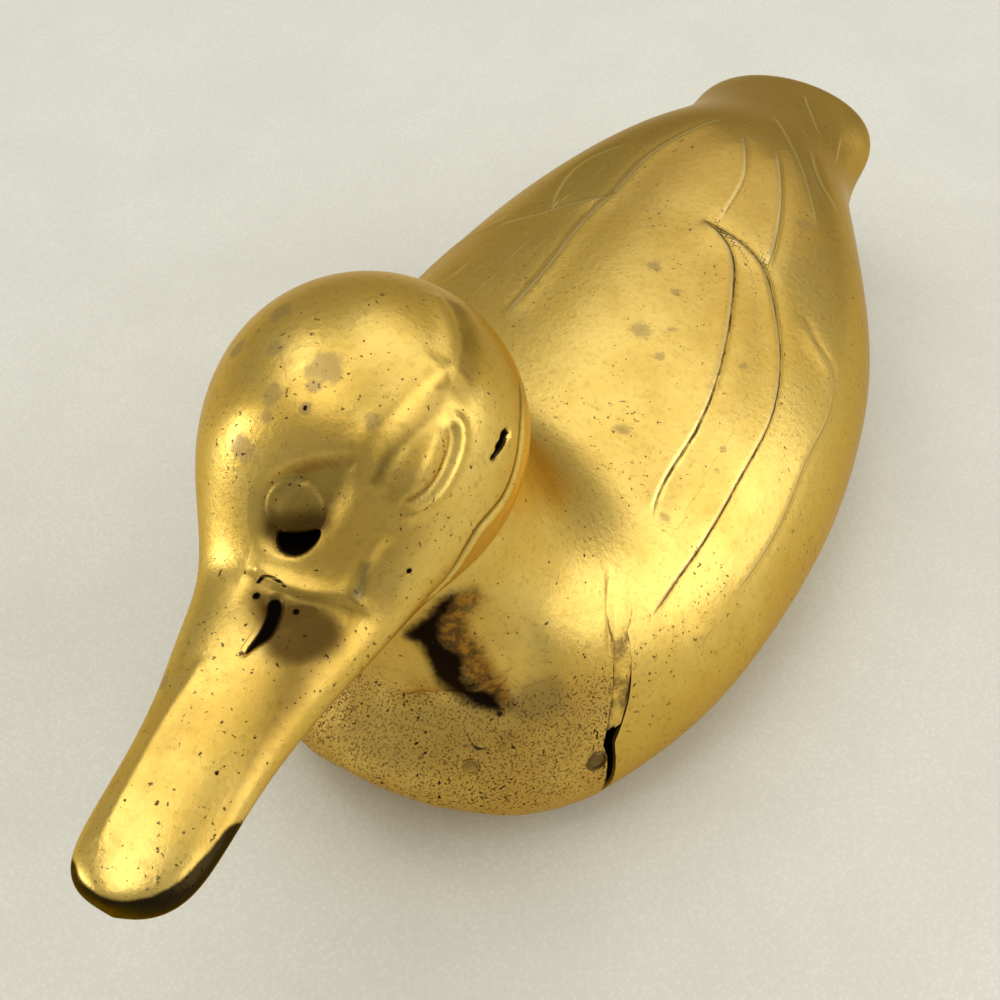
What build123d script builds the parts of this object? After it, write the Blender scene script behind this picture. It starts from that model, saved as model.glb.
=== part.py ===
from build123d import *
import math
import os

# A hollow duck of cast brass. Millimetres, bill towards -Y, tail towards +Y, the duck's left is +X,
# and the ground sole lies on Z = 0 with the origin under the middle of the whole duck.

# Whole body, from the front of the breast to the end of the tail fan
body_length = 139.0
body_width = 75.5
back_height = 40.0
front_y = -49.0
tail_side = 1.6
casting_wall = 2.5

# Head and bill
head_width = 34.2
head_length = 36.5
head_height = 34.4
head_setback = 12.3
head_side_x = -2.1
head_rise = 20.2
head_turn = 11.0
bill_length = 35.2
bill_root_width = 21.8
bill_blade_width = 12.8
bill_root_depth = 14.0
bill_tip_depth = 4.8
bill_drop = 4.0
bill_pitch = 3.2
bill_bend = -5.0

# Neck and the braze under the head
neck_top_width = 24.0
neck_top_length = 26.0
neck_setback = 3.2
neck_joint_tilt = 30.0
neck_braze_height = 1.2
neck_bead = 0.4

# Seam between the two body shells, left open low on the duck's left
seam_width = 1.2

# Eyes, set unevenly as on the real casting: turn from the bill, lift and slant in degrees
left_eye_turn = 46.0
left_eye_lift = 35.0
left_eye_slant = 34.0
right_eye_turn = 3.0
right_eye_lift = 24.0
right_eye_slant = 57.0
eye_length = 10.6
eye_width = 6.0
eye_thickness = 3.6
socket_length = 13.4
socket_width = 8.6
socket_depth = 1.0

# Casting flaws: a tear at the back of the left cheek and a hole under the right eye
tear_turn = 85.0
tear_lift = 21.0
tear_slant = 62.0
tear_length = 4.0
tear_width = 0.8
hole_turn = 0.0
hole_lift = 11.5
hole_length = 4.0
hole_width = 2.2

# Core plugs near the foot of the breast
plug_diameter = 2.2
plug_proud = 0.2
side_plug_turn = 58.0
front_plug_turn = 30.0

# Working sizes for cuts
overrun = 5.0
far = 400.0

ring_points = 24

# One row per section of the body, front to tail: place along the body, half width, top and bottom,
# as shares of body_length, half of body_width and back_height.
body_section_shares = [
    (0.000, 0.04, 0.345, 0.315),
    (0.006, 0.18, 0.405, 0.255),
    (0.023, 0.35, 0.48, 0.175),
    (0.070, 0.61, 0.65, 0.05),
    (0.141, 0.78, 0.81, -0.03),
    (0.229, 0.91, 0.87, -0.04),
    (0.346, 0.985, 0.93, -0.04),
    (0.464, 1.00, 0.96, -0.04),
    (0.581, 0.955, 0.97, -0.03),
    (0.681, 0.86, 0.985, 0.02),
    (0.763, 0.71, 1.00, 0.10),
    (0.833, 0.555, 0.965, 0.22),
    (0.886, 0.45, 0.905, 0.34),
    (0.933, 0.415, 0.86, 0.45),
    (0.968, 0.40, 0.83, 0.53),
    (0.987, 0.345, 0.815, 0.58),
    (0.996, 0.25, 0.80, 0.62),
    (1.000, 0.14, 0.78, 0.66),
]
widest_level_share = 0.34
tail_lean_share = 0.75
hollow_end_share = 0.84
top_fullness_share = 0.06
belly_fullness_share = 0.28

# Places on the body, as shares of its length from the front, its half width and the back's height.
neck_foot_place_share = 0.22
neck_foot_length_share = 0.31
neck_foot_width_share = 0.65
neck_foot_height_share = 0.42
neck_joint_place_share = 0.08
neck_joint_height_share = 0.69
seam_foot_place_share = 0.118
seam_bend_place_share = 0.151
seam_bend_height_share = 0.56
seam_top_place_share = 0.295
seam_top_height_share = 0.95
seam_gap_side_share = 0.55
seam_gap_height_share = 0.46
side_plug_shares = (0.69, 0.112, 0.34)
front_plug_shares = (0.36, 0.039, 0.425)

# The neck from its foot up into the head: rise, and swell between its top and foot sizes.
neck_section_shares = [
    (0.00, 1.00),
    (0.14, 0.97),
    (0.28, 0.80),
    (0.42, 0.50),
    (0.56, 0.22),
    (0.70, 0.05),
    (0.84, 0.00),
    (1.00, 0.00),
]
# The ball of the head, back to front: place, half width, top and bottom, as shares of its half sizes.
ball_section_shares = [
    (-1.00, 0.08, 0.06, 0.10),
    (-0.97, 0.30, 0.28, 0.30),
    (-0.85, 0.58, 0.56, 0.55),
    (-0.62, 0.82, 0.80, 0.80),
    (-0.30, 0.97, 0.96, 0.96),
    (0.00, 1.00, 1.00, 1.00),
    (0.30, 0.95, 0.95, 0.94),
    (0.60, 0.83, 0.80, 0.82),
]
# The bill, root to tip: place along the bill, width and depth between their root and blade values.
bill_section_shares = [
    (0.06, 0.86, 0.72),
    (0.22, 0.55, 0.54),
    (0.42, 0.22, 0.36),
    (0.62, 0.05, 0.21),
    (0.80, 0.00, 0.09),
    (0.89, -0.10, 0.03),
    (0.95, -0.34, -0.03),
    (0.985, -0.72, -0.12),
    (1.00, -1.25, -0.24),
]

head_y = front_y + head_setback
head_centre_z = back_height + head_rise


def along(share):
    """The Y of a place along the body."""
    return front_y + share * body_length


def oval(y, x, z, half_width, rise, fall, top_fullness=0.0, belly_fullness=0.0):
    """One closed section across Y, with its widest level at z."""
    points = []
    for step in range(ring_points):
        angle = 2 * math.pi * step / ring_points
        across = math.cos(angle)
        up = math.sin(angle)
        fullness = top_fullness if up > 0 else belly_fullness
        reach = rise if up > 0 else fall
        points.append(Vector(
            x + half_width * across * (1 + fullness * up * up / 2),
            y,
            z + reach * up * (1 + fullness * across * across),
        ))
    steps = [step / ring_points for step in range(ring_points + 1)]
    return Wire([Edge.make_spline(points, periodic=True, parameters=steps)])


def body_skin(inset, end_share):
    """The duck's body as a closed solid, drawn in by inset on every side."""
    middle_y = front_y + body_length / 2
    middle_z = back_height / 2
    shortening = 1 - 2 * inset / body_length
    rings = []
    for place, width, top, bottom in body_section_shares:
        if place > end_share:
            continue
        y = middle_y + (along(place) - middle_y) * shortening
        upright = 1 - 2 * inset / back_height
        high = middle_z + (top * back_height - middle_z) * upright
        low = middle_z + (bottom * back_height - middle_z) * upright
        level = low + (high - low) * widest_level_share
        half_width = width * (body_width / 2 - inset)
        lean = max(0, place - tail_lean_share) / (1 - tail_lean_share)
        rings.append(oval(y, tail_side * lean * lean, level, half_width, high - level, level - low,
                          top_fullness_share, belly_fullness_share))
    return Solid.make_loft(rings)


def neck_skin(inset):
    """The neck, swelling to its foot inside the breast, as a closed solid that ends inside the head."""
    neck_foot_width = neck_foot_width_share * body_width
    neck_foot_length = neck_foot_length_share * body_length
    foot_y = along(neck_foot_place_share)
    foot_z = neck_foot_height_share * back_height
    rings = []
    for rise, flare in neck_section_shares:
        z = foot_z + rise * (head_centre_z - foot_z)
        y = foot_y + rise * (head_y + neck_setback - foot_y)
        half_width = (neck_top_width + flare * (neck_foot_width - neck_top_width)) / 2 - inset
        half_length = (neck_top_length + flare * (neck_foot_length - neck_top_length)) / 2 - inset
        points = []
        for step in range(ring_points):
            angle = 2 * math.pi * step / ring_points
            points.append(Vector(rise * head_side_x + half_width * math.cos(angle),
                                 y + half_length * math.sin(angle), z))
        steps = [step / ring_points for step in range(ring_points + 1)]
        rings.append(Wire([Edge.make_spline(points, periodic=True, parameters=steps)]))
    return Solid.make_loft(rings)


def head_rings(inset):
    """Sections of the ball of the head, in the head's own frame, drawn in by inset."""
    rings = []
    for place, width, top, bottom in ball_section_shares:
        y = -place * (head_length / 2 - inset)
        rings.append(oval(y, 0, 0, width * (head_width / 2 - inset),
                          top * (head_height / 2 - inset), bottom * (head_height / 2 - inset)))
    return rings


def bill_rings():
    """Sections of the bill, from its root to its rounded tip."""
    rings = []
    for place, width, depth in bill_section_shares:
        run = place * bill_length
        half_width = (bill_blade_width + width * (bill_root_width - bill_blade_width)) / 2
        half_depth = (bill_tip_depth + depth * (bill_root_depth - bill_tip_depth)) / 2
        x = run * math.tan(math.radians(bill_bend))
        z = -bill_drop - run * math.tan(math.radians(bill_pitch))
        rings.append(oval(-head_length / 2 - run, x, z, half_width, half_depth, half_depth))
    return rings


def head_place(skin, turn, lift, slant):
    """The place on the head's skin at a turn and a lift, Z outward and X slanted in the surface."""
    way = Vector(
        math.sin(math.radians(turn)) * math.cos(math.radians(lift)),
        -math.cos(math.radians(turn)) * math.cos(math.radians(lift)),
        math.sin(math.radians(lift)),
    )
    crossings = skin.find_intersection_points(Axis((0, 0, 0), way))
    point, outward = max(crossings, key=lambda crossing: crossing[0].dot(way))
    level = Vector(0, 0, 1).cross(outward).normalized()
    across = level.rotate(Axis((0, 0, 0), outward), slant)
    return Plane(origin=point, x_dir=across, z_dir=outward).location


def lens(length, width, thickness):
    return scale(Sphere(1 / 2), by=(length, width, thickness))


def seam_side(shift, side):
    """Everything on one side of the seam: steep up the flank, then back over the shoulder."""
    foot_y = along(seam_foot_place_share)
    bend_y = along(seam_bend_place_share)
    bend_z = seam_bend_height_share * back_height
    run_y = along(seam_top_place_share) - bend_y
    run_z = seam_top_height_share * back_height - bend_z
    run = math.hypot(run_y, run_z)
    foot_slope = (bend_y - foot_y) / bend_z
    rows = [
        (foot_y - foot_slope * far, -far),
        (bend_y, bend_z),
        (bend_y + run_y * far / run, bend_z + run_z * far / run),
    ]
    corners = [(y + run_z / run * shift, z - run_y / run * shift) for y, z in rows]
    corners.append((side * far, corners[-1][1]))
    corners.append((side * far, corners[0][1]))
    outline = Polyline(*[(0, y, z) for y, z in corners], close=True)
    return extrude(make_face(outline), amount=far, dir=(1, 0, 0), both=True)


def joint_side(shift, up):
    """Everything above or below the neck joint's plane, moved by shift along its normal."""
    spot = (0, along(neck_joint_place_share), neck_joint_height_share * back_height)
    joint = Plane(spot).rotated((neck_joint_tilt, 0, 0)).offset(shift)
    return joint * Box(far, far, far, align=(Align.CENTER, Align.CENTER, Align.MIN if up else Align.MAX))


def plug_rod(shares, turn):
    """A level rod through the shell's wall, pointing outward at a turn from the front."""
    across, place, height = shares
    spot = (across * body_width / 2, along(place), height * back_height)
    outward = Vector(math.sin(math.radians(turn)), -math.cos(math.radians(turn)), 0)
    return Plane(origin=spot, z_dir=outward) * Cylinder(plug_diameter / 2, 4 * casting_wall)


os.makedirs("parts", exist_ok=True)
head_spot = Location((head_side_x, head_y, head_centre_z), (0, 0, head_turn))
ground = Box(far, far, far, align=(Align.CENTER, Align.CENTER, Align.MIN))
hollow_floor = Pos(0, 0, casting_wall) * ground
above_joint = joint_side(neck_braze_height / 2, True)
below_joint = joint_side(-neck_braze_height / 2, False)

# Hollows
body_hollow = body_skin(casting_wall, hollow_end_share) & hollow_floor
neck_hollow = neck_skin(casting_wall) & hollow_floor
head_hollow = head_spot * Solid.make_loft(head_rings(casting_wall))

# Body and breast shells, cut apart at the seam, with the braze between them
neck = neck_skin(0)
trunk = (body_skin(0, 1) & ground) + (neck & below_joint)
shell = trunk - body_hollow - neck_hollow
seam_half = seam_width / 2
body_casting = shell & seam_side(seam_half, 1)
breast_casting = shell & seam_side(-seam_half, -1)
seam_band = seam_side(-seam_half, 1) & seam_side(seam_half, -1)
open_gap = Pos(seam_gap_side_share * body_width / 2, 0, -overrun) * Box(
    far, far, seam_gap_height_share * back_height + overrun, align=(Align.MIN, Align.CENTER, Align.MIN))
breast_seam_braze = (shell & seam_band) - open_gap

# Core plugs through the breast wall, a pair on each side
side_rod = plug_rod(side_plug_shares, side_plug_turn)
front_rod = plug_rod(front_plug_shares, front_plug_turn)
rods = [side_rod, front_rod, mirror(side_rod, about=Plane.YZ), mirror(front_rod, about=Plane.YZ)]
plug_zone = body_skin(-plug_proud, 1) - body_hollow
core_plugs = Compound(children=[rod & plug_zone for rod in rods])
for rod in rods:
    breast_casting = breast_casting - rod

# Braze round the neck, standing a little proud
neck_braze = (neck_skin(-neck_bead) & joint_side(neck_braze_height / 2, False)
              & joint_side(-neck_braze_height / 2, True)) - neck_hollow

# Head with its neck stub, eyes in their sockets and the two casting flaws
head_skin = Solid.make_loft(head_rings(0) + bill_rings())
head_casting = head_spot * head_skin + (neck & above_joint)
for turn, lift, slant in ((left_eye_turn, left_eye_lift, left_eye_slant),
                          (right_eye_turn, right_eye_lift, right_eye_slant)):
    spot = head_spot * head_place(head_skin, turn, lift, slant)
    head_casting = head_casting - spot * lens(socket_length, socket_width, 2 * socket_depth)
    head_casting = head_casting + spot * lens(eye_length, eye_width, eye_thickness)
head_casting = head_casting - head_hollow - neck_hollow
tear_spot = head_spot * head_place(head_skin, tear_turn, tear_lift, tear_slant)
head_casting = head_casting - tear_spot * Box(tear_length, tear_width, 4 * casting_wall)
hole_spot = head_spot * head_place(head_skin, hole_turn, hole_lift, 0)
head_casting = head_casting - hole_spot * lens(hole_length, hole_width, 4 * casting_wall)

pieces = {
    "body_casting": body_casting,
    "breast_casting": breast_casting,
    "head_casting": head_casting,
    "breast_seam_braze": breast_seam_braze,
    "neck_seam_braze": neck_braze,
    "core_plugs": core_plugs,
}
for name, piece in pieces.items():
    export_step(piece, f"parts/{name}.step")
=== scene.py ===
import bpy
import math
import numpy as np
from mathutils import Matrix, Vector, noise
from mathutils.bvhtree import BVHTree
from mathutils.kdtree import KDTree


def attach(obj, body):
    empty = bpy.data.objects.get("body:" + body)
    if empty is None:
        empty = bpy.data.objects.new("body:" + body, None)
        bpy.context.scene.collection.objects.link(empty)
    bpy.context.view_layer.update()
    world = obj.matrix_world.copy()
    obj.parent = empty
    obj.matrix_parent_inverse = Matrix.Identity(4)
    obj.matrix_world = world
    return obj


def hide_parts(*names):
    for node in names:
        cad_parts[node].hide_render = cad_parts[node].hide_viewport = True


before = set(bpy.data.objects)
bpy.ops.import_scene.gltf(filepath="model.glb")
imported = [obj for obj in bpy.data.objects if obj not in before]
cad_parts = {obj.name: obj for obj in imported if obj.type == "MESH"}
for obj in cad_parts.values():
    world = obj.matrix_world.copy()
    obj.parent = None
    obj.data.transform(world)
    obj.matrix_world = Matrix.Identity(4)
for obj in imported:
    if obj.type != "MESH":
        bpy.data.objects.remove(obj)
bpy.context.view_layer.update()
MM = 0.001

# The table top the duck stands on and the camera above its left shoulder.
# The top is a pale sheet of artificial leather with a fine even grain.
camera_turn = math.radians(29.5)
camera_lift = math.radians(49.15)
camera_roll = math.radians(-0.6)
camera_target = np.array([0.45, -12.3, 27.5])
camera_distance = 194.4
camera_lens = 53.46

away = np.array([
    math.sin(camera_turn) * math.cos(camera_lift),
    -math.cos(camera_turn) * math.cos(camera_lift),
    math.sin(camera_lift),
])
level_right = np.array([math.cos(camera_turn), math.sin(camera_turn), 0.0])
level_up = np.cross(away, level_right)
picture_right = math.cos(camera_roll) * level_right + math.sin(camera_roll) * level_up
picture_up = math.cos(camera_roll) * level_up - math.sin(camera_roll) * level_right
camera_data = bpy.data.cameras.new("camera")
camera_data.lens = camera_lens
camera_data.sensor_width = 36.0
camera_data.clip_start = 0.01
camera = bpy.data.objects.new("camera", camera_data)
camera.matrix_world = Matrix([
    (picture_right[i], picture_up[i], away[i], (camera_target + away * camera_distance)[i] * MM)
    for i in range(3)
] + [(0.0, 0.0, 0.0, 1.0)])
bpy.context.collection.objects.link(camera)
bpy.context.scene.camera = camera
bpy.context.scene.view_settings.view_transform = "Standard"


def sight(x, y):
    """The camera's line through a place in its picture, which is 1000 across and 1000 down."""
    step = camera_data.sensor_width / 1000 / camera_lens
    way = picture_right * (x - 500) * step + picture_up * (500 - y) * step - away
    return Vector(camera_target + away * camera_distance), Vector(way).normalized()


class Reading:
    """One value over the surface. Sums on readings add their nodes to the same material."""

    def __init__(self, socket):
        self.socket = socket

    def node(self, kind, output, settings=None, inputs=None):
        tree = self.socket.id_data
        made = tree.nodes.new(kind)
        for name, value in (settings or {}).items():
            setattr(made, name, value)
        for name, value in (inputs or {}).items():
            if isinstance(value, Reading):
                tree.links.new(value.socket, made.inputs[name])
            else:
                made.inputs[name].default_value = value
        return Reading(made.outputs[output])

    def maths(self, operation, first, second=0.0):
        return self.node("ShaderNodeMath", 0, {"operation": operation}, {0: first, 1: second})

    def __add__(self, other):
        return self.maths("ADD", self, other)

    def __sub__(self, other):
        return self.maths("SUBTRACT", self, other)

    def __rsub__(self, other):
        return self.maths("SUBTRACT", other, self)

    def __mul__(self, other):
        return self.maths("MULTIPLY", self, other)

    __radd__ = __add__
    __rmul__ = __mul__

    def most(self, other):
        """The larger of this and another."""
        return self.maths("MAXIMUM", self, other)

    def between(self, low, high):
        """0 below low, 1 above high, and a smooth rise between them."""
        return self.node("ShaderNodeMapRange", 0, {"interpolation_type": "SMOOTHSTEP"},
                         {"Value": self, "From Min": low, "From Max": high})

    def mixed(self, colour, other):
        """The first colour where this is 0, the other where it is 1."""
        return self.node("ShaderNodeMix", 2, {"data_type": "RGBA"}, {0: self, 6: colour, 7: other})

    def noise(self, scale, detail=3.0, roughness=0.55):
        """Soft cloudy values round a half, read at this place."""
        return self.node("ShaderNodeTexNoise", 0, None,
                         {"Vector": self, "Scale": scale, "Detail": detail, "Roughness": roughness})

    def cells(self, scale, output="Distance"):
        """The distance to the nearest of many scattered points, or a chance colour for each of them."""
        return self.node("ShaderNodeTexVoronoi", output, None, {"Vector": self, "Scale": scale})

    def pits(self, scale, share, size):
        """1 inside small pits at a share of scattered points, the widest of them size cells across."""
        chance = self.node("ShaderNodeSeparateColor", 0, None, {0: self.cells(scale, "Color")})
        width = (chance - (1 - share)) * (size / share)
        return (width - self.cells(scale)).between(0.0, size * 0.35)

    def ragged(self, scale, cover):
        """1 inside small ragged specks; more of them as the cover rises."""
        cloud = self.noise(scale, 2.0, 0.6)
        return (cloud + cover - 0.72).between(-0.01, 0.03)

    def kept(self, label):
        """A value kept at the points of the mesh."""
        return self.node("ShaderNodeAttribute", "Fac", {"attribute_name": label})

    def frayed(self, label, spread, low, high, scale, detail=3.0, roughness=0.55):
        """A kept value as a patch from 0 to 1, its edge frayed by a cloudy spread."""
        cloud = self.noise(scale, detail, roughness)
        return (self.kept(label) + (cloud - 0.5) * spread).between(low, high)


def new_finish(name):
    """An empty material, the shader in it, and the place on the object."""
    material = bpy.data.materials.new(name)
    material.use_nodes = True
    tree = material.node_tree
    shader = next(n for n in tree.nodes if n.type == "BSDF_PRINCIPLED")
    place = Reading(tree.nodes.new("ShaderNodeTexCoord").outputs["Object"])
    return material, shader, place


def feed(shader, **readings):
    for name, reading in readings.items():
        shader.id_data.links.new(reading.socket, shader.inputs[name.replace("_", " ")])


def tone(red, green, blue):
    """A colour as seen, from 0 to 255, made linear."""
    seen = [part / 255 for part in (red, green, blue)]
    return (*[part / 12.92 if part < 0.04045 else ((part + 0.055) / 1.055) ** 2.4 for part in seen], 1.0)


sheet_half_width = 900.0
sheet_material, sheet_shader, sheet_place = new_finish("pale_leathercloth")
sheet_grain = sheet_place.cells(1500.0)
sheet_tone = sheet_place.noise(40.0).between(0.35, 0.65).mixed(tone(227, 226, 213), tone(222, 221, 208))
sheet_shader.inputs["Roughness"].default_value = 0.62
feed(sheet_shader, Base_Color=(sheet_grain.between(0.1, 0.6) * 0.35).mixed(sheet_tone, tone(205, 203, 190)),
     Normal=sheet_grain.node("ShaderNodeBump", 0, None,
                             {"Height": sheet_grain, "Strength": 0.25, "Distance": 0.0001}))
sheet_mesh = bpy.data.meshes.new("table_top")
sheet_mesh.from_pydata([(x * sheet_half_width * MM, y * sheet_half_width * MM, 0.0)
                        for x, y in ((-1, -1), (1, -1), (1, 1), (-1, 1))], [], [(0, 1, 2, 3)])
sheet_mesh.materials.append(sheet_material)
table_top = bpy.data.objects.new("table_top", sheet_mesh)
bpy.context.collection.objects.link(table_top)


# The light: a window wall to the duck's left, a pale ceiling over the head and a weaker window
# low to the front right, each a soft lamp one metre off and aimed at the duck.
lamp_aim = Vector((0.0, 0.0, 0.03))
for name, way, wide, tall, power, colour in (
        ("window_left", (0.78, 0.27, 0.50), 0.95, 0.95, 5.0, (1.0, 0.98, 0.95)),
        ("ceiling_back", (0.0, 0.50, 0.87), 0.8, 0.75, 2.2, (1.0, 0.99, 0.97)),
        ("ceiling_front", (-0.24, -0.24, 0.94), 0.6, 0.6, 2.2, (1.0, 0.99, 0.97)),
        ("ceiling_right", (-0.62, 0.06, 0.80), 0.30, 0.40, 0.9, (1.0, 0.99, 0.97)),
        ("window_right", (-0.81, -0.55, 0.20), 0.28, 0.34, 2.0, (1.0, 1.0, 0.99))):
    lamp_data = bpy.data.lights.new(name, "AREA")
    lamp_data.shape = "RECTANGLE"
    lamp_data.size = wide
    lamp_data.size_y = tall
    lamp_data.energy = power
    lamp_data.color = colour
    lamp = bpy.data.objects.new(name, lamp_data)
    way = Vector(way).normalized()
    lamp.matrix_world = Matrix.Translation(way + lamp_aim) @ way.to_track_quat("Z", "Y").to_matrix().to_4x4()
    bpy.context.collection.objects.link(lamp)
world = bpy.data.worlds.new("room")
world.use_nodes = True
room = next(n for n in world.node_tree.nodes if n.type == "BACKGROUND")
room.inputs["Color"].default_value = (0.84, 0.83, 0.80, 1.0)
room.inputs["Strength"].default_value = 0.45
bpy.context.scene.world = world


# Back shell: the rear casting of the body, with both wings and the tail fan. Sand-cast brass with a
# wall of 2.5 mm, filed smooth and chased with feather lines; its colour is painted darker towards the tail as
# painted shade.
body_length = 139.0
body_width = 75.5
back_height = 40.0
front_y = -49.0
tail_side = 1.6
casting_wall = 2.5
sharp_turn = math.radians(60.0)
body_sections = np.array([
    (0.000, 0.04, 0.345, 0.315), (0.006, 0.18, 0.405, 0.255), (0.023, 0.35, 0.48, 0.175),
    (0.070, 0.61, 0.65, 0.05), (0.141, 0.78, 0.81, -0.03), (0.229, 0.91, 0.87, -0.04),
    (0.346, 0.985, 0.93, -0.04), (0.464, 1.00, 0.96, -0.04), (0.581, 0.955, 0.97, -0.03),
    (0.681, 0.86, 0.985, 0.02), (0.763, 0.71, 1.00, 0.10), (0.833, 0.555, 0.965, 0.22),
    (0.886, 0.45, 0.905, 0.34), (0.933, 0.415, 0.86, 0.45), (0.968, 0.40, 0.83, 0.53),
    (0.987, 0.345, 0.815, 0.58), (0.996, 0.25, 0.80, 0.62), (1.000, 0.14, 0.78, 0.66),
])
seam_foot = np.array([-33.9, 0.0])
seam_bend = np.array([-32.3, 16.5])
seam_top = np.array([-19.0, 37.0])


def smoothed(rings, fine):
    """A smooth skin through rings of points: fine rows along it, one column for each ring point."""
    steps = np.linalg.norm(np.diff(rings, axis=0), axis=2).mean(axis=1)
    at = np.concatenate([[0.0], np.cumsum(steps)])
    count = len(at)
    system = np.eye(count)
    pull = np.zeros((count,) + rings.shape[1:])
    for i in range(1, count - 1):
        system[i, i - 1:i + 2] = steps[i - 1], 2 * (steps[i - 1] + steps[i]), steps[i]
        pull[i] = 6 * ((rings[i + 1] - rings[i]) / steps[i] - (rings[i] - rings[i - 1]) / steps[i - 1])
    bend = np.linalg.solve(system, pull.reshape(count, -1)).reshape(pull.shape)
    where = np.linspace(0.0, at[-1], fine)
    low = np.clip(np.searchsorted(at, where, side="right") - 1, 0, count - 2)
    gap = steps[low][:, None, None]
    right = ((where - at[low]) / steps[low])[:, None, None]
    left = 1 - right
    return (left * rings[low] + right * rings[low + 1]
            + ((left ** 3 - left) * bend[low] + (right ** 3 - right) * bend[low + 1]) * gap * gap / 6)


def oval(angles, centre, half_width, rise, fall, top_fullness=0.0, belly_fullness=0.0):
    """One section across Y, with its widest level at the centre."""
    across = np.cos(angles)
    up = np.sin(angles)
    fullness = np.where(up > 0, top_fullness, belly_fullness)
    reach = np.where(up > 0, rise, fall)
    return np.stack([
        centre[0] + half_width * across * (1 + fullness * up * up / 2),
        np.full_like(across, centre[1]),
        centre[2] + reach * up * (1 + fullness * across * across),
    ], axis=1)


def body_rings(angles):
    rings = []
    for place, width, top, bottom in body_sections:
        high = top * back_height
        low = bottom * back_height
        level = low + (high - low) * 0.34
        lean = max(0.0, place - 0.75) / 0.25
        rings.append(oval(angles, (tail_side * lean * lean, front_y + place * body_length, level),
                          width * body_width / 2, high - level, level - low, 0.06, 0.28))
    return np.array(rings)


def grounded(skin):
    """The skin ground flat on the table, with its edge just broken."""
    round_off = 0.7
    z = skin[..., 2]
    skin[..., 2] = np.where(z > round_off, z, np.where(z < -round_off, 0.0,
                                                       (z + round_off) ** 2 / (4 * round_off)))
    return skin


def behind_seam(points):
    """How far points lie behind the seam between the two body shells."""
    offset = points[..., 1:] - seam_bend
    return np.minimum(*[(offset[..., 0] * way[1] - offset[..., 1] * way[0]) / np.linalg.norm(way)
                        for way in (seam_bend - seam_foot, seam_top - seam_bend)])


def seam_half(points):
    """Half the width of the seam: narrow and open at its foot, wide where it was filed."""
    return 0.55 + 0.55 * np.clip((points[..., 2] - 15.0) / 6.0, 0.0, 1.0)


def lengths_along(skin):
    """How far each point lies from the start of its column."""
    return np.concatenate([np.zeros((1, skin.shape[1])),
                           np.cumsum(np.linalg.norm(np.diff(skin, axis=0), axis=2), axis=0)])


def cut_length(skin, depth, last):
    """How far along each column the skin first (or last) crosses depth 0, with each column's lengths."""
    run = lengths_along(skin)
    place = np.zeros(skin.shape[1])
    for j in range(skin.shape[1]):
        change = np.nonzero((depth[:-1, j] < 0) != (depth[1:, j] < 0))[0]
        i = change[-1] if last else change[0]
        share = depth[i, j] / (depth[i, j] - depth[i + 1, j])
        place[j] = run[i, j] + share * (run[i + 1, j] - run[i, j])
    return place, run


def respaced(skin, run, start, end, rows):
    """The part of each column from start to end, as evenly spaced rows."""
    shares = np.linspace(0.0, 1.0, rows)
    out = np.zeros((rows, skin.shape[1], 3))
    for j in range(skin.shape[1]):
        wanted = start[j] + shares * (end[j] - start[j])
        for k in range(3):
            out[:, j, k] = np.interp(wanted, run[:, j], skin[:, j, k])
    return out


def outward(skin, side=1):
    """The direction out of a closed skin of rows and wrapped columns, at each of its points."""
    along = np.gradient(skin, axis=0)
    around = np.roll(skin, -1, axis=1) - np.roll(skin, 1, axis=1)
    normal = np.cross(around, along)
    size = np.linalg.norm(normal, axis=2, keepdims=True)
    return side * normal / np.maximum(size, 1e-9)


def grid_faces(rows, columns, first=0, flip=False):
    """Faces between the rows of a wrapped grid."""
    faces = []
    for i in range(rows - 1):
        for j in range(columns):
            k = (j + 1) % columns
            face = (first + i * columns + j, first + i * columns + k,
                    first + (i + 1) * columns + k, first + (i + 1) * columns + j)
            faces.append(face[::-1] if flip else face)
    return faces


def finished_piece(name, points, faces, material, node, readings):
    """A piece's object, in metres, with values kept at its points for its material."""
    mesh = bpy.data.meshes.new(name)
    mesh.from_pydata((np.asarray(points) * MM).tolist(), [], faces)
    for label, values in readings.items():
        kept = mesh.attributes.new(label, "FLOAT", "POINT")
        kept.data.foreach_set("value", np.asarray(values, dtype=np.float32))
    mesh.materials.append(material)
    mesh.shade_smooth()
    mesh.set_sharp_from_angle(angle=sharp_turn)
    mesh.update()
    piece = bpy.data.objects.new(name, mesh)
    bpy.context.collection.objects.link(piece)
    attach(piece, "root")
    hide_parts(node)


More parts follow.
